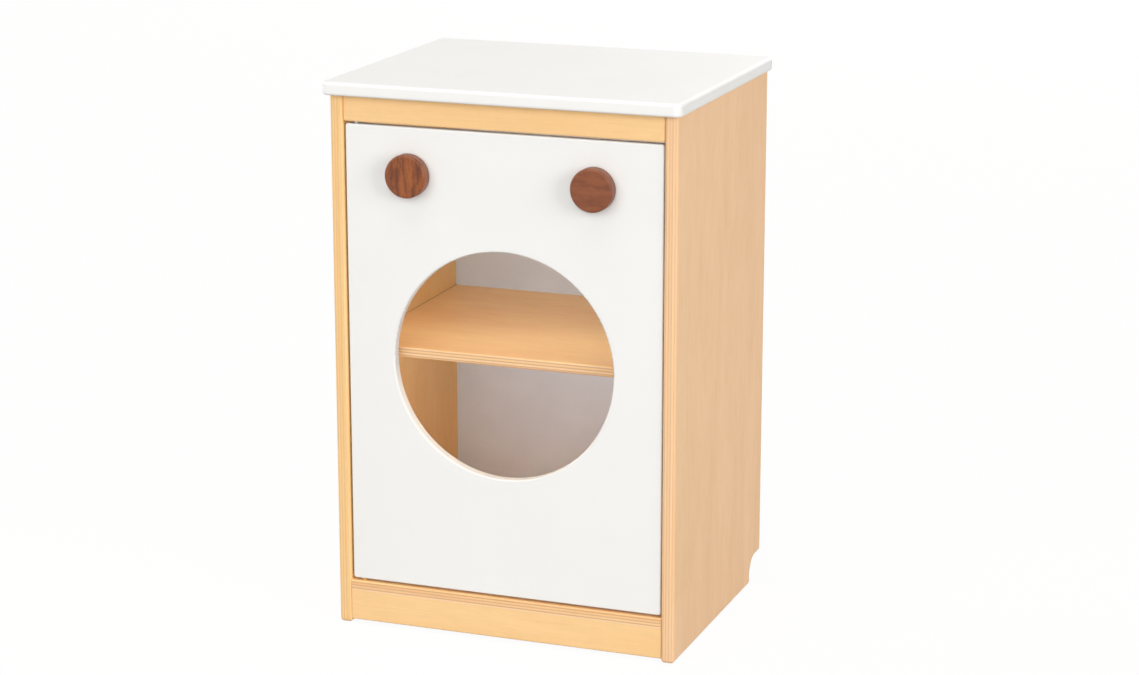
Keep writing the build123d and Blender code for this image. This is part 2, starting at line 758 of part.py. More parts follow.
# ---------------------------------------------------------------- magnetic catch
def strike_screw_planes(y):
    """Rear-facing planes at the strike plate's screws."""
    return [
        Plane(origin=(strike_mid_x, y, z), z_dir=(0, 1, 0)) for z in pair(catch_z, strike_screw_spacing)
    ]


def make_catch():
    """Magnetic catch on the right side panel: housing, magnet and two pole plates."""
    sandwich = magnet_thickness + 2 * pole_plate_thickness
    cavity_depth = magnet_depth + pole_plate_reach
    with BuildPart() as housing:
        with BuildSketch(Plane.XY.offset(catch_z - catch_body_height / 2)):
            with Locations((inner_half, catch_front_y)):
                Rectangle(catch_thickness, catch_depth, align=(Align.MAX, Align.MIN))
        extrude(amount=catch_body_height)
        with BuildSketch(Plane.XY.offset(catch_z - catch_flange_height / 2)):
            with Locations((inner_half, catch_front_y)):
                Rectangle(catch_flange_thickness, catch_depth, align=(Align.MAX, Align.MIN))
        extrude(amount=catch_flange_height)
        outer_edges = housing.edges().filter_by(Axis.Z).group_by(Axis.X)[0]
        fillet(outer_edges, radius=catch_corner_radius)
        cavity_mouth = Location((catch_mid_x, catch_front_y, catch_z))
        with Locations(cavity_mouth):
            Box(
                sandwich + 2 * catch_cavity_clearance,
                cavity_depth,
                magnet_height + 2 * catch_cavity_clearance,
                align=(Align.CENTER, Align.MIN, Align.CENTER),
                mode=Mode.SUBTRACT,
            )
        with Locations(*raised(catch_screw_planes(), catch_flange_thickness)):
            Hole(radius=screw_radius + screw_fit, depth=catch_flange_thickness)
    save(housing, "catch_housing")

    with BuildPart() as magnet:
        with Locations((catch_mid_x, catch_front_y + pole_plate_reach, catch_z)):
            Box(magnet_thickness, magnet_depth, magnet_height, align=(Align.CENTER, Align.MIN, Align.CENTER))
    save(magnet, "catch_magnet")

    with BuildPart() as poles:
        for side in (-1, 1):
            offset = side * (magnet_thickness + pole_plate_thickness) / 2
            with Locations((catch_mid_x + offset, pole_front_y, catch_z)):
                Box(
                    pole_plate_thickness,
                    cavity_depth + pole_plate_reach - catch_cavity_clearance,
                    magnet_height,
                    align=(Align.CENTER, Align.MIN, Align.CENTER),
                )
    save(poles, "catch_pole_plates")


def make_strike_plate():
    """Steel strike plate on the back of the door."""
    with BuildPart() as strike:
        with BuildSketch(Plane.XZ.offset(-strike_back_y)):
            with Locations((strike_mid_x, catch_z)):
                RectangleRounded(strike_width, strike_height, catch_corner_radius)
        extrude(amount=strike_thickness)
        with Locations(*strike_screw_planes(strike_back_y)):
            CounterSinkHole(
                radius=screw_radius + screw_fit,
                counter_sink_radius=flat_head_radius + flat_head_fit,
                depth=strike_thickness,
                counter_sink_angle=flat_head_angle,
            )
    save(strike, "strike_plate")


# ---------------------------------------------------------------- build everything
os.makedirs("parts", exist_ok=True)

make_side_panel(-1, "left_side_panel")
make_side_panel(1, "right_side_panel")
make_base_panel()
make_shelf()
make_front_rail()
make_rear_rail()
make_front_plinth()
make_back_panel()
make_worktop()
make_dowels()
make_worktop_brackets()

bracket_planes = bracket_side_screws(-1) + bracket_side_screws(1) + bracket_top_screws()
make_screw_group("bracket_screws", raised(bracket_planes, bracket_thickness), bracket_screw_length)
back_planes = [plane for board in back_screw_rows for plane in back_screw_planes(board, back_rear_y)]
make_screw_group("back_panel_screws", back_planes, back_screw_length)

make_door()
make_lower_pivot()
make_upper_pivot()
pivot_plate_planes = lower_screw_planes() + upper_screw_planes(rail_back_y + pivot_plate_thickness)
make_screw_group("pivot_plate_screws", pivot_plate_planes, pivot_screw_length, countersunk=True)

make_knob("left", knob_centres[0])
make_knob("right", knob_centres[1])

make_catch()
make_screw_group("catch_screws", raised(catch_screw_planes(), catch_flange_thickness), catch_screw_length)
make_strike_plate()
make_screw_group("strike_screws", strike_screw_planes(strike_back_y), strike_screw_length, countersunk=True)
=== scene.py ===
import bpy
from math import cos, pi, radians, sin, tan
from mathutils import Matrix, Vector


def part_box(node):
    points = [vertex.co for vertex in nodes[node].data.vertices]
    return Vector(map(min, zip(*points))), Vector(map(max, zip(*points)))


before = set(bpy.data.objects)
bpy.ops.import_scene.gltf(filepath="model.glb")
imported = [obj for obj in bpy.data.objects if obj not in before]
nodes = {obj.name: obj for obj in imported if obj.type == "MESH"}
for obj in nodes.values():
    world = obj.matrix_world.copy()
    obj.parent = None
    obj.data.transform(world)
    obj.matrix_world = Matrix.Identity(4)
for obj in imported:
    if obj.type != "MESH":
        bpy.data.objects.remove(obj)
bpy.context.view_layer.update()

# Toy washing machine: birch plywood cabinet, white lacquered worktop and porthole door, stained
# wooden knobs. Metres. +Z up, the door faces -Y, +X is on the viewer's right.

AXES = "XYZ"
Y, Z = AXES.index("Y"), AXES.index("Z")
MM = 0.001


def srgb(red, green, blue):
    """A colour given as 0-255 display values, as the linear values that shaders take.

    The numbers in it are those of the sRGB standard's own curve."""
    def linear(value):
        share = value / 255
        return share / 12.92 if share <= 0.04045 else ((share + 0.055) / 1.055) ** 2.4
    return (linear(red), linear(green), linear(blue), 1.0)


# ---------------------------------------------------------------- node graphs
# Numbers of a Mix node's sockets, by what it mixes: first input, second input, result.
MIX_SOCKETS = {"RGBA": (6, 7, 2), "VECTOR": (4, 5, 1)}


def new_mix(tree, kind):
    """Adds a Mix node. Returns its share, first and second inputs and its result."""
    made = tree.nodes.new("ShaderNodeMix")
    made.data_type = kind
    first, second, result = MIX_SOCKETS[kind]
    return made.inputs[0], made.inputs[first], made.inputs[second], made.outputs[result]


class Graph:
    """One material's node graph, built from plain calls that return output sockets."""

    def __init__(self, name):
        self.material = bpy.data.materials.new(name)
        self.material.use_nodes = True
        self.tree = self.material.node_tree
        self.shader = self.tree.nodes["Principled BSDF"]
        coordinates = self.tree.nodes.new("ShaderNodeTexCoord")
        self.place = coordinates.outputs["Object"]
        self.normal = coordinates.outputs["Normal"]

    def node(self, kind, inputs=(), output=0, **settings):
        """Adds a node, feeds its inputs by index or name, and returns one of its outputs."""
        made = self.tree.nodes.new(kind)
        for key, value in settings.items():
            setattr(made, key, value)
        for key, value in dict(inputs).items():
            self.feed(made.inputs[key], value)
        return made.outputs[output]

    def feed(self, socket, value):
        """A socket gets a link from another socket, or a fixed value."""
        if isinstance(value, bpy.types.NodeSocket):
            self.tree.links.new(value, socket)
        else:
            socket.default_value = value

    def math(self, operation, first, second=0.0, third=0.0):
        return self.node("ShaderNodeMath", {0: first, 1: second, 2: third}, operation=operation)

    def scaled(self, vector, factors):
        return self.node("ShaderNodeVectorMath", {0: vector, 1: factors}, operation="MULTIPLY")

    def weighted(self, first, first_weight, second, second_weight):
        """The sum of two values, each times its weight."""
        return self.math("ADD", self.math("MULTIPLY", first, first_weight),
                         self.math("MULTIPLY", second, second_weight))

    def shifted(self, vector, amount):
        """The vector moved by the same amount along every axis."""
        spread = self.node("ShaderNodeCombineXYZ", {0: amount, 1: amount, 2: amount})
        return self.node("ShaderNodeVectorMath", {0: vector, 1: spread}, operation="ADD")

    def part_of(self, vector, axis):
        """One component of a vector, named by its axis letter."""
        return self.node("ShaderNodeSeparateXYZ", {0: vector}, output=AXES.index(axis))

    def facing(self, axis):
        """How squarely the surface faces along an axis, from 0 to 1."""
        return self.math("ABSOLUTE", self.part_of(self.normal, axis))

    def noise(self, vector, scale=1.0, detail=2.0, roughness=0.5, distortion=0.0):
        inputs = {"Vector": vector, "Scale": scale, "Detail": detail, "Roughness": roughness,
                  "Distortion": distortion}
        return self.node("ShaderNodeTexNoise", inputs, output="Fac")

    def band(self, value, low, high, out_low=0.0, out_high=1.0):
        """Maps low..high to out_low..out_high, smoothly and held at both ends."""
        inputs = {"Value": value, "From Min": low, "From Max": high, "To Min": out_low, "To Max": out_high}
        return self.node("ShaderNodeMapRange", inputs, interpolation_type="SMOOTHSTEP")

    def between(self, kind, share, first, second):
        """A value of the Mix node's kind between two others."""
        *inputs, result = new_mix(self.tree, kind)
        for socket, value in zip(inputs, (share, first, second)):
            self.feed(socket, value)
        return result

    def mix(self, share, first, second):
        """A colour between two colours."""
        return self.between("RGBA", share, first, second)

    def choose(self, share, first, second):
        """A vector between two vectors."""
        return self.between("VECTOR", share, first, second)

    def darkened(self, colour, amount):
        """A colour times one minus the amount, which is a socket from 0 to 1."""
        keep = self.math("SUBTRACT", 1.0, amount)
        return self.node("ShaderNodeVectorMath", {0: colour, "Scale": keep}, operation="SCALE")

    def edge(self, radius):
        """0 on flat faces, rising to 1 on arrises narrower than the radius."""
        rounded = self.node("ShaderNodeBevel", {"Radius": radius}, samples=4)
        true_normal = self.node("ShaderNodeNewGeometry", output="Normal")
        likeness = self.node("ShaderNodeVectorMath", {0: rounded, 1: true_normal}, output="Value",
                             operation="DOT_PRODUCT")
        return self.band(self.math("SUBTRACT", 1.0, likeness), low=0.02, high=0.25)

    def edge_mix(self, colour, rubbed, radius, share):
        """A colour that goes towards a rubbed one, by the share, on arrises narrower than the radius."""
        return self.mix(self.math("MULTIPLY", self.edge(radius), share), colour, rubbed)

    def bump(self, height, distance, strength):
        socket = self.node("ShaderNodeBump", {"Height": height, "Distance": distance, "Strength": strength})
        self.feed(self.shader.inputs["Normal"], socket)

    def finish(self, colour, roughness, **fixed):
        """Feeds the shader. Names in fixed are sockets with spaces written as underscores."""
        self.feed(self.shader.inputs["Base Color"], colour)
        self.feed(self.shader.inputs["Roughness"], roughness)
        for key, value in fixed.items():
            self.shader.inputs[key.replace("_", " ")].default_value = value
        return self.material


def axis_factors(axis, along, across):
    """Scale factors that stretch a pattern along one axis."""
    return tuple(along if letter == axis else across for letter in AXES)


# ---------------------------------------------------------------- plywood
CROSS_SHARE = 0.32  # narrow cross veneers, as a share of one pair of veneers
FACE_OFFSET = 0.25 - CROSS_SHARE / 2  # where in a pair of veneers a board's low face lies
VENEER_SHIFT = 0.137  # metres from one veneer's pattern to the next one's
BOARD_SHIFT = 0.731  # metres from one board's pattern to the next one's
TINT_STEP = 7.3  # from one board's row of veneer tints to the next one's
TINT_SHARE = 0.80  # how far an edge's palest veneer goes towards cream
SWIRL_REACH = 9 * MM  # how far the figure wanders from straight grain
GLUE_CORE, GLUE_REACH = 0.04 * MM, 0.13 * MM  # where a glue line starts to fade, and where it ends
END_SHADE_CORE, END_SHADE_REACH = 0.4 * MM, 1.3 * MM  # the same for the painted shade at a board's ends, a contact shadow where they butt against their neighbours
PLYWOOD_ARRIS = 1.2 * MM
CREAM_VENEER = srgb(255, 224, 188)
CROSS_VENEER_END = srgb(198, 150, 116)
GLUE_LINE = srgb(140, 92, 56)


def plywood(node, thin, grain, plies, pale, deep, edge_lines, seed, end_shade=0.0):
    """Varnished birch plywood, solid through its thickness: wide veneers along the grain, narrow
    ones across it.

    thin is the axis through the board, grain the face veneers' grain, pale and deep their two tones.
    edge_lines is how strongly the cross veneers show as darker lines in the board's edges, and end_shade
    how dark the painted shade is where the board's ends butt against its neighbours: a contact shadow
    painted into the colour."""
    low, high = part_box(node)
    thin_index = AXES.index(thin)
    cross = next(letter for letter in AXES if letter not in (thin, grain))
    pair = 2 * (high[thin_index] - low[thin_index]) / plies
    g = Graph(node + "_plywood")

    # Which veneer a point is in. Cross veneers have odd numbers.
    depth = g.math("SUBTRACT", g.part_of(g.place, thin), low[thin_index])
    pairs = g.math("MULTIPLY_ADD", depth, 1 / pair, FACE_OFFSET)
    within = g.math("FRACT", pairs)
    crossed = g.math("GREATER_THAN", within, 1.0 - CROSS_SHARE)
    number = g.math("MULTIPLY_ADD", g.math("FLOOR", pairs), 2.0, crossed)

    # Each veneer's own wood.
    swirl = g.noise(g.scaled(g.place, axis_factors(grain, along=2.2, across=11.0)), detail=2.0)
    warped = g.shifted(g.place, g.math("MULTIPLY", swirl, SWIRL_REACH))
    own_place = g.shifted(warped, g.math("MULTIPLY_ADD", number, VENEER_SHIFT, seed * BOARD_SHIFT))

    def grained(along, across):
        lengthwise = g.scaled(own_place, axis_factors(grain, along, across))
        crosswise = g.scaled(own_place, axis_factors(cross, along, across))
        return g.choose(crossed, lengthwise, crosswise)

    clouds = g.noise(grained(along=2.6, across=13.0), detail=3.0, roughness=0.55, distortion=0.8)
    ripple = g.noise(grained(along=34.0, across=95.0), detail=2.0, roughness=0.6)
    streaks = g.noise(grained(along=9.0, across=620.0), detail=3.0, roughness=0.62)
    pores = g.noise(grained(along=95.0, across=2400.0), detail=1.0)
    veneer = g.mix(g.band(clouds, 0.30, 0.72), pale, deep)
    veneer = g.darkened(veneer, g.band(ripple, 0.42, 0.75, out_high=0.025))
    veneer = g.darkened(veneer, g.band(streaks, 0.38, 0.78, out_high=0.045))
    veneer = g.darkened(veneer, g.band(pores, 0.62, 0.80, out_high=0.08))

    # The layered edges: tinted veneers, darker ends of the cross veneers, speckled end grain.
    tint = g.node("ShaderNodeTexWhiteNoise", {"W": g.math("ADD", number, seed * TINT_STEP)},
                  output="Value", noise_dimensions="1D")
    on_edge = g.band(g.facing(thin), 0.2, 0.9, out_low=1.0, out_high=0.0)
    edge_tint = g.math("MULTIPLY", g.math("MULTIPLY", tint, on_edge), TINT_SHARE * edge_lines)
    veneer = g.mix(edge_tint, veneer, CREAM_VENEER)
    end_speckle = g.noise(own_place, scale=2100.0, detail=2.0, roughness=0.7)
    cross_end = g.math("MULTIPLY", g.math("MULTIPLY", crossed, g.facing(cross)), edge_lines)
    cross_speckle = g.band(end_speckle, 0.30, 0.70, out_low=0.65, out_high=0.95)
    colour = g.mix(g.math("MULTIPLY", cross_end, cross_speckle), veneer, CROSS_VENEER_END)
    long_end = g.math("MULTIPLY", g.math("SUBTRACT", 1.0, crossed), g.facing(grain))
    long_speckle = g.band(end_speckle, 0.35, 0.70, out_low=0.04, out_high=0.16)
    colour = g.darkened(colour, g.math("MULTIPLY", long_end, long_speckle))

    # Broken glue lines between the veneers.
    to_pair = g.math("MINIMUM", within, g.math("SUBTRACT", 1.0, within))
    to_cross = g.math("ABSOLUTE", g.math("SUBTRACT", within, 1.0 - CROSS_SHARE))
    from_joint = g.math("MULTIPLY", g.math("MINIMUM", to_pair, to_cross), pair)
    glue_break = g.noise(g.scaled(g.place, axis_factors(thin, along=900.0, across=45.0)), detail=2.0)
    in_glue = g.band(from_joint, GLUE_CORE, GLUE_REACH, out_low=1.0, out_high=0.0)
    glue_tone = g.band(glue_break, 0.30, 0.65, out_low=0.30 * edge_lines, out_high=0.75 * edge_lines)
    glue = g.math("MULTIPLY", in_glue, glue_tone)
    colour = g.mix(glue, colour, GLUE_LINE)
    colour = g.darkened(colour, g.math("MULTIPLY", g.edge(PLYWOOD_ARRIS), 0.04))
    # Painted shade: a contact shadow darkens the board within about a millimetre of its ends, where they
    # butt against neighbouring boards.
    if end_shade:
        grain_index = AXES.index(grain)
        along_grain = g.part_of(g.place, grain)
        from_low = g.math("SUBTRACT", along_grain, low[grain_index])
        from_high = g.math("SUBTRACT", high[grain_index], along_grain)
        from_end = g.math("MINIMUM", from_low, from_high)
        colour = g.darkened(colour, g.band(from_end, END_SHADE_CORE, END_SHADE_REACH, out_low=end_shade, out_high=0.0))

    height = g.weighted(pores, -0.6, streaks, -0.4)
    height = g.math("SUBTRACT", height, g.math("MULTIPLY", glue, 0.5))
    g.bump(height, distance=0.10 * MM, strength=0.42)
    roughness = g.band(g.math("ADD", streaks, ripple), 0.6, 1.4, out_low=0.40, out_high=0.54)
    return g.finish(colour, roughness, Specular_IOR_Level=0.35, Coat_Weight=0.06, Coat_Roughness=0.32)


# ---------------------------------------------------------------- other materials
LACQUER_WHITE = srgb(245, 244, 241)
LACQUER_HAZE = srgb(243, 242, 238)
LACQUER_CUT_SHADE = srgb(216, 217, 218)
LACQUER_RUBBED = srgb(234, 229, 220)


def white_lacquer(name, cut_shade_share):
    """White satin lacquer on board: faint orange peel, soft handling marks, arrises rubbed warmer.

    cut_shade_share is how far a board that stands square to Y goes towards a duller grey in its cut edges:
    painted shade that tones down how brightly those edges are lit."""
    g = Graph(name)
    haze = g.noise(g.place, scale=9.0, detail=4.0, roughness=0.6)
    wipe_place = g.scaled(g.place, axis_factors("Z", along=9.0, across=38.0))
    wipe = g.noise(wipe_place, detail=3.0, roughness=0.6, distortion=0.5)
    peel = g.noise(g.place, scale=520.0, detail=2.0, roughness=0.45)
    grit = g.noise(g.place, scale=2600.0, detail=1.0)
    colour = g.mix(g.band(haze, 0.35, 0.70, out_high=0.5), LACQUER_WHITE, LACQUER_HAZE)
    # Painted shade: faces not square to Y, the cut edges, go towards a duller grey by the share, so that
    # they look less brightly lit.
    painted_cut_shade = g.band(g.facing("Y"), 0.3, 0.9, out_low=cut_shade_share, out_high=0.0)
    colour = g.mix(painted_cut_shade, colour, LACQUER_CUT_SHADE)
    handling = g.band(wipe, 0.35, 0.65, out_low=0.10, out_high=0.45)
    colour = g.edge_mix(colour, LACQUER_RUBBED, radius=1.6 * MM, share=handling)
    g.bump(g.math("MULTIPLY_ADD", grit, 0.15, peel), distance=0.05 * MM, strength=0.30)
    roughness = g.band(g.math("ADD", wipe, haze), 0.7, 1.3, out_low=0.56, out_high=0.66)
    return g.finish(colour, roughness, Specular_IOR_Level=0.22)


STAIN_SIDE_SHADE = srgb(128, 84, 68)
STAIN_WORN_AND_HIGHLIT = srgb(190, 124, 86)


def stained_wood(node, grain, dark, light, mottle, figure, seed):
    """Brown-stained turned wood: soft growth bands or mottles, flecks and open pores along its grain.

    mottle is the share of rounder patches in place of long bands, figure how strongly flecks and
    pores show."""
    low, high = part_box(node)
    g = Graph(node + "_stained_wood")
    middle = tuple(-(a + b) / 2 for a, b in zip(low, high))
    centred = g.node("ShaderNodeVectorMath", {0: g.place, 1: middle}, operation="ADD")
    own_place = g.shifted(centred, seed)
    swirl = g.noise(g.scaled(own_place, axis_factors(grain, along=14.0, across=60.0)), detail=2.0)
    warped = g.shifted(own_place, g.math("MULTIPLY", swirl, 4 * MM))

    def grained(along, across, **settings):
        return g.noise(g.scaled(warped, axis_factors(grain, along, across)), **settings)

    bands = grained(along=24.0, across=260.0, detail=4.0, roughness=0.62)
    patches = grained(along=52.0, across=120.0, detail=3.0, roughness=0.60)
    flecks = grained(along=170.0, across=760.0, detail=2.0, roughness=0.6)
    pores = grained(along=230.0, across=2300.0, detail=2.0, roughness=0.6)
    tone = g.weighted(bands, 1.0 - mottle, patches, mottle)
    colour = g.mix(g.band(tone, 0.38, 0.64), light, dark)
    colour = g.darkened(colour, g.band(flecks, 0.50, 0.72, out_high=0.34 * figure))
    colour = g.darkened(colour, g.band(pores, 0.55, 0.75, out_high=0.36 * figure))
    colour = g.darkened(colour, g.band(g.facing(grain), 0.5, 1.0, out_high=0.16))
    # Painted shade and sheen: the knob's side wall, turned away from Y, goes towards a darker, greyer brown
    # than its face.
    painted_side_shade = g.band(g.facing("Y"), 0.15, 0.60, out_low=0.45, out_high=0.0)
    colour = g.mix(painted_side_shade, colour, STAIN_SIDE_SHADE)
    # Arrises go lighter: partly rubbed wear, partly a painted highlight along the rim.
    colour = g.edge_mix(colour, STAIN_WORN_AND_HIGHLIT, radius=1.1 * MM, share=0.24)
    g.bump(g.weighted(pores, -0.8, flecks, -0.3), distance=0.12 * MM, strength=0.6)
    roughness = g.band(pores, 0.3, 0.8, out_low=0.40, out_high=0.54)
    return g.finish(colour, roughness, Specular_IOR_Level=0.35, Coat_Weight=0.08, Coat_Roughness=0.30)


COAT_DEPTH = 0.2 * MM
COAT_PALE = srgb(223, 230, 240)
COAT_DEEP = srgb(217, 223, 233)
FIBRE_PALE = srgb(150, 108, 68)
FIBRE_DEEP = srgb(108, 72, 42)
FIBRE_TUFTS = srgb(172, 130, 88)


def hardboard(node):
    """Thin hardboard: a pale grey coat on its front face, bare brown fibre on its back and edges."""
    low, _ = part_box(node)
    g = Graph(node + "_hardboard")
    depth = g.math("SUBTRACT", g.part_of(g.place, "Y"), low[Y])
    bare = g.math("GREATER_THAN", depth, COAT_DEPTH)
    fibres = g.noise(g.place, scale=950.0, detail=4.0, roughness=0.7)
    tuft_place = g.scaled(g.place, axis_factors("Z", along=340.0, across=220.0))
    tufts = g.noise(tuft_place, detail=3.0, roughness=0.65, distortion=1.2)
    clouds = g.noise(g.place, scale=14.0, detail=3.0)
    fibre = g.mix(g.band(fibres, 0.3, 0.72), FIBRE_PALE, FIBRE_DEEP)
    fibre = g.mix(g.band(tufts, 0.45, 0.75, out_high=0.45), fibre, FIBRE_TUFTS)
    fibre = g.darkened(fibre, g.band(clouds, 0.35, 0.7, out_high=0.10))
    coat = g.mix(g.band(clouds, 0.3, 0.7), COAT_PALE, COAT_DEEP)
    coat = g.darkened(coat, g.band(fibres, 0.45, 0.8, out_high=0.03))
    relief = g.math("MULTIPLY", g.math("ADD", fibres, tufts), g.math("MULTIPLY_ADD", bare, 0.9, 0.1))
    g.bump(relief, distance=0.16 * MM, strength=0.5)
    coat_roughness = g.band(fibres, 0.3, 0.8, out_low=0.46, out_high=0.54)
    return g.finish(g.mix(bare, coat, fibre), g.math("MULTIPLY_ADD", bare, 0.22, coat_roughness))


BEECH_PALE = srgb(222, 186, 142)
BEECH_DEEP = srgb(202, 160, 114)
BEECH_RAYS = srgb(168, 116, 72)


def raw_dowel():
    """Unfinished beech: short darker ray flecks along X, the dowels' own direction."""
    g = Graph("beech_dowel")
    flecks = g.noise(g.scaled(g.place, axis_factors("X", along=180.0, across=1500.0)), detail=2.0)
    clouds = g.noise(g.scaled(g.place, axis_factors("X", along=12.0, across=160.0)), detail=3.0)
    colour = g.mix(g.band(clouds, 0.3, 0.7), BEECH_PALE, BEECH_DEEP)
    colour = g.mix(g.band(flecks, 0.55, 0.72, out_high=0.5), colour, BEECH_RAYS)
    g.bump(flecks, distance=0.08 * MM, strength=0.5)
    return g.finish(colour, g.band(flecks, 0.3, 0.8, out_low=0.55, out_high=0.72))


METAL_RUBBED = srgb(236, 234, 230)


def plated_metal(name, tone, shade, rough):
    """Bright plated metal: cloudy plating, fine rolling marks and rubbed edges."""
    g = Graph(name)
    clouds = g.noise(g.place, scale=160.0, detail=4.0, roughness=0.65)
    marks = g.noise(g.scaled(g.place, axis_factors("Z", along=4200.0, across=300.0)), detail=2.0)
    colour = g.mix(g.band(clouds, 0.35, 0.7), tone, shade)
    colour = g.edge_mix(colour, METAL_RUBBED, radius=0.4 * MM, share=0.5)
    g.bump(marks, distance=0.02 * MM, strength=0.35)
    roughness = g.band(g.math("ADD", clouds, marks), 0.7, 1.3, out_low=rough, out_high=rough + 0.14)
    return g.finish(colour, roughness, Metallic=1.0)


PLASTIC_RUBBED = srgb(240, 238, 232)


def moulded_plastic(name, tone, shade, rough):
    """Moulded plastic: faint flow clouding, fine spark-eroded texture, edges a touch lighter."""
    g = Graph(name)
    flow = g.noise(g.place, scale=70.0, detail=3.0, distortion=1.0)
    spark = g.noise(g.place, scale=3400.0, detail=2.0)
    colour = g.mix(g.band(flow, 0.3, 0.7), tone, shade)
    colour = g.edge_mix(colour, PLASTIC_RUBBED, radius=0.5 * MM, share=0.3)
    g.bump(spark, distance=0.03 * MM, strength=0.5)
    return g.finish(colour, g.band(spark, 0.3, 0.7, out_low=rough, out_high=rough + 0.1))


FERRITE_PALE = srgb(58, 58, 62)
FERRITE_DEEP = srgb(40, 40, 43)
FERRITE_CHIPPED = srgb(92, 92, 96)


def sintered_ferrite():
    """Ground ferrite: near black, with grains that catch the light and chipped, paler edges."""
    g = Graph("ferrite")
    grains = g.node("ShaderNodeTexVoronoi", {"Vector": g.place, "Scale": 3200.0}, output="Distance")
    clouds = g.noise(g.place, scale=240.0, detail=4.0)
    colour = g.mix(g.band(clouds, 0.35, 0.7), FERRITE_PALE, FERRITE_DEEP)
    colour = g.edge_mix(colour, FERRITE_CHIPPED, radius=0.4 * MM, share=0.4)
    g.bump(grains, distance=0.04 * MM, strength=0.5)
    return g.finish(colour, g.band(grains, 0.1, 0.7, out_low=0.42, out_high=0.62), Metallic=0.4)


# ---------------------------------------------------------------- finishes for the CAD nodes
def paint(material, *names):
    """Gives CAD nodes their finish."""
    for name in names:
        slots = nodes[name].data.materials
        slots.clear()
        slots.append(material)


# A board's two veneer tones.
FRONT_TONES = {"pale": srgb(254, 211, 152), "deep": srgb(250, 204, 143)}
SIDE_TONES = {"pale": srgb(250, 204, 154), "deep": srgb(244, 197, 145)}
SHELF_TONES = {"pale": srgb(252, 207, 146), "deep": srgb(246, 191, 134)}
LEFT_TONES = {"pale": srgb(252, 207, 143), "deep": srgb(247, 200, 132)}

# How a board lies, by the axis through it and its face grain.
UPRIGHT = {"thin": "X", "grain": "Z"}
LEVEL = {"thin": "Z", "grain": "X"}
FACING = {"thin": "Y", "grain": "X"}

BOARDS = {
    "left_side_panel": {**UPRIGHT, **LEFT_TONES, "plies": 9, "edge_lines": 0.30, "seed": 1},
    "right_side_panel": {**UPRIGHT, **SIDE_TONES, "plies": 9, "edge_lines": 0.34, "seed": 2},
    "base_panel": {**LEVEL, **SHELF_TONES, "plies": 7, "edge_lines": 0.7, "seed": 3},
    "shelf": {**LEVEL, **SHELF_TONES, "plies": 7, "edge_lines": 0.75, "seed": 9, "end_shade": 0.62},
    "front_rail": {**FACING, **FRONT_TONES, "plies": 9, "edge_lines": 0.8, "seed": 5},
    "rear_rail": {**FACING, **FRONT_TONES, "plies": 7, "edge_lines": 0.8, "seed": 6},
    "front_plinth": {**FACING, **FRONT_TONES, "plies": 7, "edge_lines": 0.8, "seed": 7},
}
for board, settings in BOARDS.items():
    paint(plywood(board, **settings), board)

paint(white_lacquer("worktop_lacquer", cut_shade_share=0.0), "worktop")
paint(white_lacquer("door_lacquer", cut_shade_share=0.9), "door")
paint(hardboard("back_panel"), "back_panel")
paint(raw_dowel(), "carcass_dowels")

KNOBS = {
    "left_knob": {"grain": "Z", "dark": srgb(107, 54, 29), "light": srgb(158, 89, 45),
                  "mottle": 0.45, "figure": 1.0, "seed": 0.31},
    "right_knob": {"grain": "X", "dark": srgb(122, 66, 40), "light": srgb(141, 81, 49),
                   "mottle": 0.50, "figure": 0.50, "seed": 0.77},
}
for knob, settings in KNOBS.items():
    paint(stained_wood(knob, **settings), knob)

zinc = plated_metal("zinc_steel", srgb(188, 189, 192), srgb(168, 171, 176), rough=0.32)
paint(zinc, "worktop_brackets", "bracket_screws", "back_panel_screws", "pivot_plate_screws", "catch_screws")
paint(zinc, "lower_pivot_plate", "upper_pivot_plate", "lower_pivot_pin", "upper_pivot_pin")
paint(zinc, "strike_plate", "strike_screws", "catch_pole_plates")
paint(zinc, "left_knob_bolt", "right_knob_bolt", "left_knob_washer", "right_knob_washer")
brass = plated_metal("brass", srgb(214, 178, 104), srgb(196, 156, 84), rough=0.26)
paint(brass, "left_knob_insert", "right_knob_insert", "lower_pivot_washer")
nylon = moulded_plastic("nylon", srgb(236, 233, 226), srgb(228, 224, 215), rough=0.38)
paint(nylon, "lower_pivot_bush", "upper_pivot_bush", "left_knob_bush", "right_knob_bush")
catch_plastic = moulded_plastic("catch_plastic", srgb(238, 237, 233), srgb(231, 230, 225), rough=0.34)
paint(catch_plastic, "catch_housing")
paint(sintered_ferrite(), "catch_magnet")


# ---------------------------------------------------------------- studio
OBJECT_MIDDLE = (0.0, 0.0, 0.31)
LAMP_DISTANCE = 9.0
FLOOR_WHITE = srgb(255, 250, 246)
FILL_LENGTH = 0.30
FILL_WIDTH = 0.03
FILL_CLEARANCE = 0.012  # from a hidden lamp to the board that hides it
SHELF_FILL_SETBACK = 0.052  # behind the shelf's front, so that the shelf shades the porthole's edge


def white_seen(tree, share):
    """A socket that is the share for camera, glossy and transmission rays, and 0 for the light's own
    bounces."""
    rays = tree.nodes.new("ShaderNodeLightPath")
    total = rays.outputs["Is Camera Ray"]
    for name in ("Is Glossy Ray", "Is Transmission Ray"):
        larger = tree.nodes.new("ShaderNodeMath")
        larger.operation = "MAXIMUM"
        tree.links.new(total, larger.inputs[0])
        tree.links.new(rays.outputs[name], larger.inputs[1])
        total = larger.outputs[0]
    scaled = tree.nodes.new("ShaderNodeMath")
    scaled.operation = "MULTIPLY"
    scaled.inputs[1].default_value = share
    tree.links.new(total, scaled.inputs[0])
    return scaled.outputs[0]


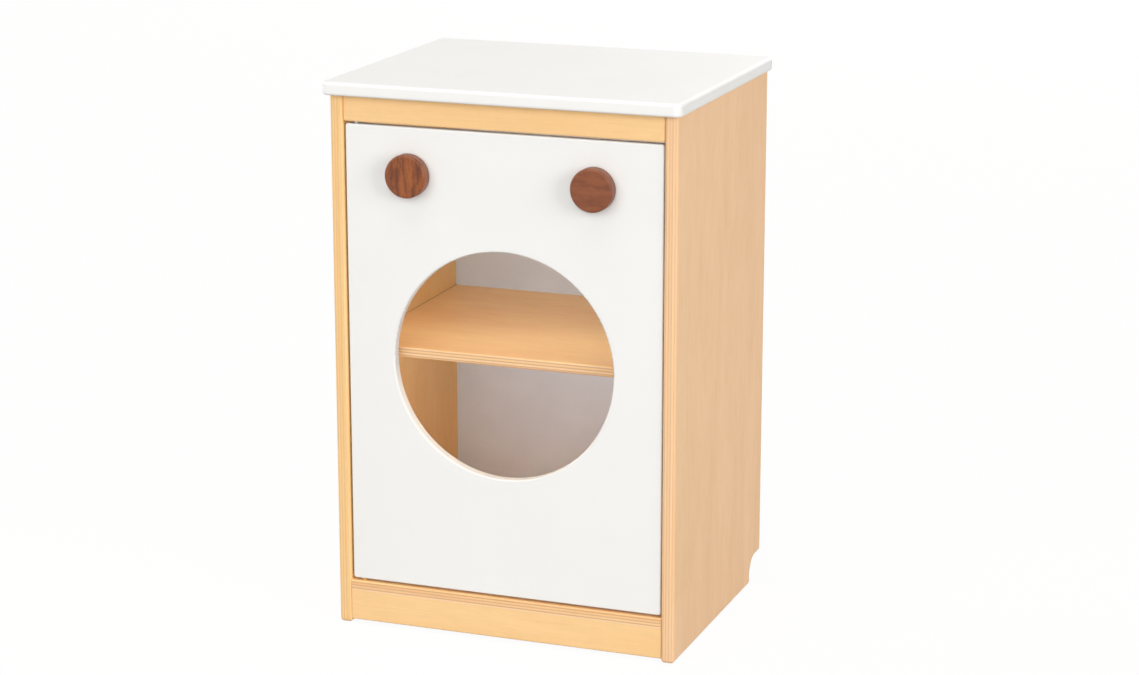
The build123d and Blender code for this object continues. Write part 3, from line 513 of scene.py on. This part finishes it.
def make_floor(half_size, height, glow_share, bounce):
    """A pale studio floor that looks white but keeps the object's shadow. bounce is its own grey in
    the light it throws back."""
    corners = [(-half_size, -half_size, height), (half_size, -half_size, height),
               (half_size, half_size, height), (-half_size, half_size, height)]
    mesh = bpy.data.meshes.new("studio_floor")
    mesh.from_pydata(corners, [], [(0, 1, 2, 3)])
    floor = bpy.data.objects.new("studio_floor", mesh)
    bpy.context.scene.collection.objects.link(floor)

    material = bpy.data.materials.new("studio_floor")
    material.use_nodes = True
    tree = material.node_tree
    tree.nodes.clear()
    seen, thrown_tone, seen_tone, tone = new_mix(tree, "RGBA")
    tree.links.new(white_seen(tree, 1.0), seen)
    thrown_tone.default_value = (bounce, bounce, bounce, 1.0)
    seen_tone.default_value = FLOOR_WHITE
    paper = tree.nodes.new("ShaderNodeBsdfDiffuse")
    tree.links.new(tone, paper.inputs["Color"])
    glow = tree.nodes.new("ShaderNodeEmission")
    blend = tree.nodes.new("ShaderNodeMixShader")
    output = tree.nodes.new("ShaderNodeOutputMaterial")
    tree.links.new(white_seen(tree, glow_share), blend.inputs[0])
    tree.links.new(paper.outputs[0], blend.inputs[1])
    tree.links.new(glow.outputs[0], blend.inputs[2])
    tree.links.new(blend.outputs[0], output.inputs["Surface"])
    mesh.materials.append(material)


def make_world(strength):
    """Even white surroundings: full white where they are seen, softer where they light the object."""
    world = bpy.data.worlds.new("studio")
    bpy.context.scene.world = world
    world.use_nodes = True
    tree = world.node_tree
    background = tree.nodes["Background"]
    background.inputs["Color"].default_value = (1.0, 1.0, 1.0, 1.0)
    level = tree.nodes.new("ShaderNodeMapRange")
    level.inputs["To Min"].default_value = strength
    level.inputs["To Max"].default_value = 1.0
    tree.links.new(white_seen(tree, 1.0), level.inputs["Value"])
    tree.links.new(level.outputs[0], background.inputs["Strength"])


def direction(azimuth, elevation):
    """The unit vector from the object towards a place. Azimuth 0 is in front of it, 90 at its right."""
    around, up = radians(azimuth), radians(elevation)
    return Vector((sin(around) * cos(up), -cos(around) * cos(up), sin(up)))


def make_softbox(name, azimuth, elevation, level, size):
    """A square area lamp aimed at the object's middle.

    A face turned straight at the lamp shows its own colour times the level."""
    data = bpy.data.lights.new(name, "AREA")
    data.shape = "SQUARE"
    data.size = size
    data.energy = level * (pi * LAMP_DISTANCE) ** 2
    lamp = bpy.data.objects.new(name, data)
    outward = direction(azimuth, elevation)
    lamp.location = Vector(OBJECT_MIDDLE) + outward * LAMP_DISTANCE
    lamp.rotation_euler = outward.to_track_quat("Z", "Y").to_euler()
    bpy.context.scene.collection.objects.link(lamp)


def make_hidden_fill(name, place, tilt, spread, tint, level, reach):
    """A slim lamp out of sight inside the cabinet, facing the back panel but tilted down by the tilt.

    On its axis, at the distance of its reach, a face turned to it shows its own colour times the
    level. A narrower spread gathers the same power on the axis, so the power comes down by that
    gain."""
    half_spread = radians(spread / 2)
    gain = tan(half_spread) / (tan(half_spread) - half_spread)
    data = bpy.data.lights.new(name, "AREA")
    data.shape = "RECTANGLE"
    data.size = FILL_LENGTH
    data.size_y = FILL_WIDTH
    data.spread = radians(spread)
    data.color = tint
    data.energy = level * (pi * reach) ** 2 / gain
    lamp = bpy.data.objects.new(name, data)
    lamp.location = place
    lamp.rotation_euler = (radians(90 - tilt), 0.0, 0.0)
    lamp.visible_camera = False
    lamp.visible_glossy = False
    bpy.context.scene.collection.objects.link(lamp)


def make_camera(place, azimuth, elevation, lens):
    """The photograph's viewing angle: azimuth 0 looks along +Y, elevation is above the horizon."""
    data = bpy.data.cameras.new("camera")
    data.sensor_width = 36.0
    data.lens = lens
    data.clip_start = 0.1
    data.clip_end = 100.0
    camera = bpy.data.objects.new("camera", data)
    camera.location = place
    camera.rotation_euler = (radians(90 - elevation), 0.0, radians(azimuth))
    bpy.context.scene.collection.objects.link(camera)
    bpy.context.scene.camera = camera


bpy.context.scene.view_settings.view_transform = "Standard"
make_camera(place=(1.137, -3.000, 1.144), azimuth=20.42, elevation=14.52, lens=92.0)
make_floor(half_size=14.0, height=-0.0005, glow_share=0.95, bounce=0.43)
make_world(strength=0.12)
make_softbox("key_softbox", azimuth=-20, elevation=26, level=0.345, size=6.8)
make_softbox("front_softbox", azimuth=18, elevation=20, level=0.26, size=4.5)
make_softbox("right_softbox", azimuth=66, elevation=15, level=0.505, size=4.5)
make_softbox("top_softbox", azimuth=0, elevation=80, level=0.35, size=6.0)
make_softbox("left_softbox", azimuth=-90, elevation=14, level=0.38, size=3.6)
make_softbox("back_softbox", azimuth=180, elevation=11, level=0.60, size=3.2)

shelf_low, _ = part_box("shelf")
rail_low, rail_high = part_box("front_rail")
under_rail = rail_low[Z] - FILL_CLEARANCE
above_shelf = (0.0, shelf_low[Y] + SHELF_FILL_SETBACK, under_rail)
behind_rail = (0.0, rail_high[Y] + FILL_CLEARANCE, under_rail)
under_shelf = (0.0, shelf_low[Y] + FILL_CLEARANCE, shelf_low[Z] - FILL_CLEARANCE)
make_hidden_fill("shelf_fill", above_shelf, tilt=92, spread=64, tint=(1.0, 1.0, 0.95),
                 level=0.62, reach=0.24)
make_hidden_fill("upper_fill", behind_rail, tilt=20, spread=150, tint=(0.72, 0.87, 1.0),
                 level=0.56, reach=0.28)
make_hidden_fill("lower_fill", under_shelf, tilt=-18, spread=140, tint=(0.72, 0.88, 1.0),
                 level=0.72, reach=0.28)
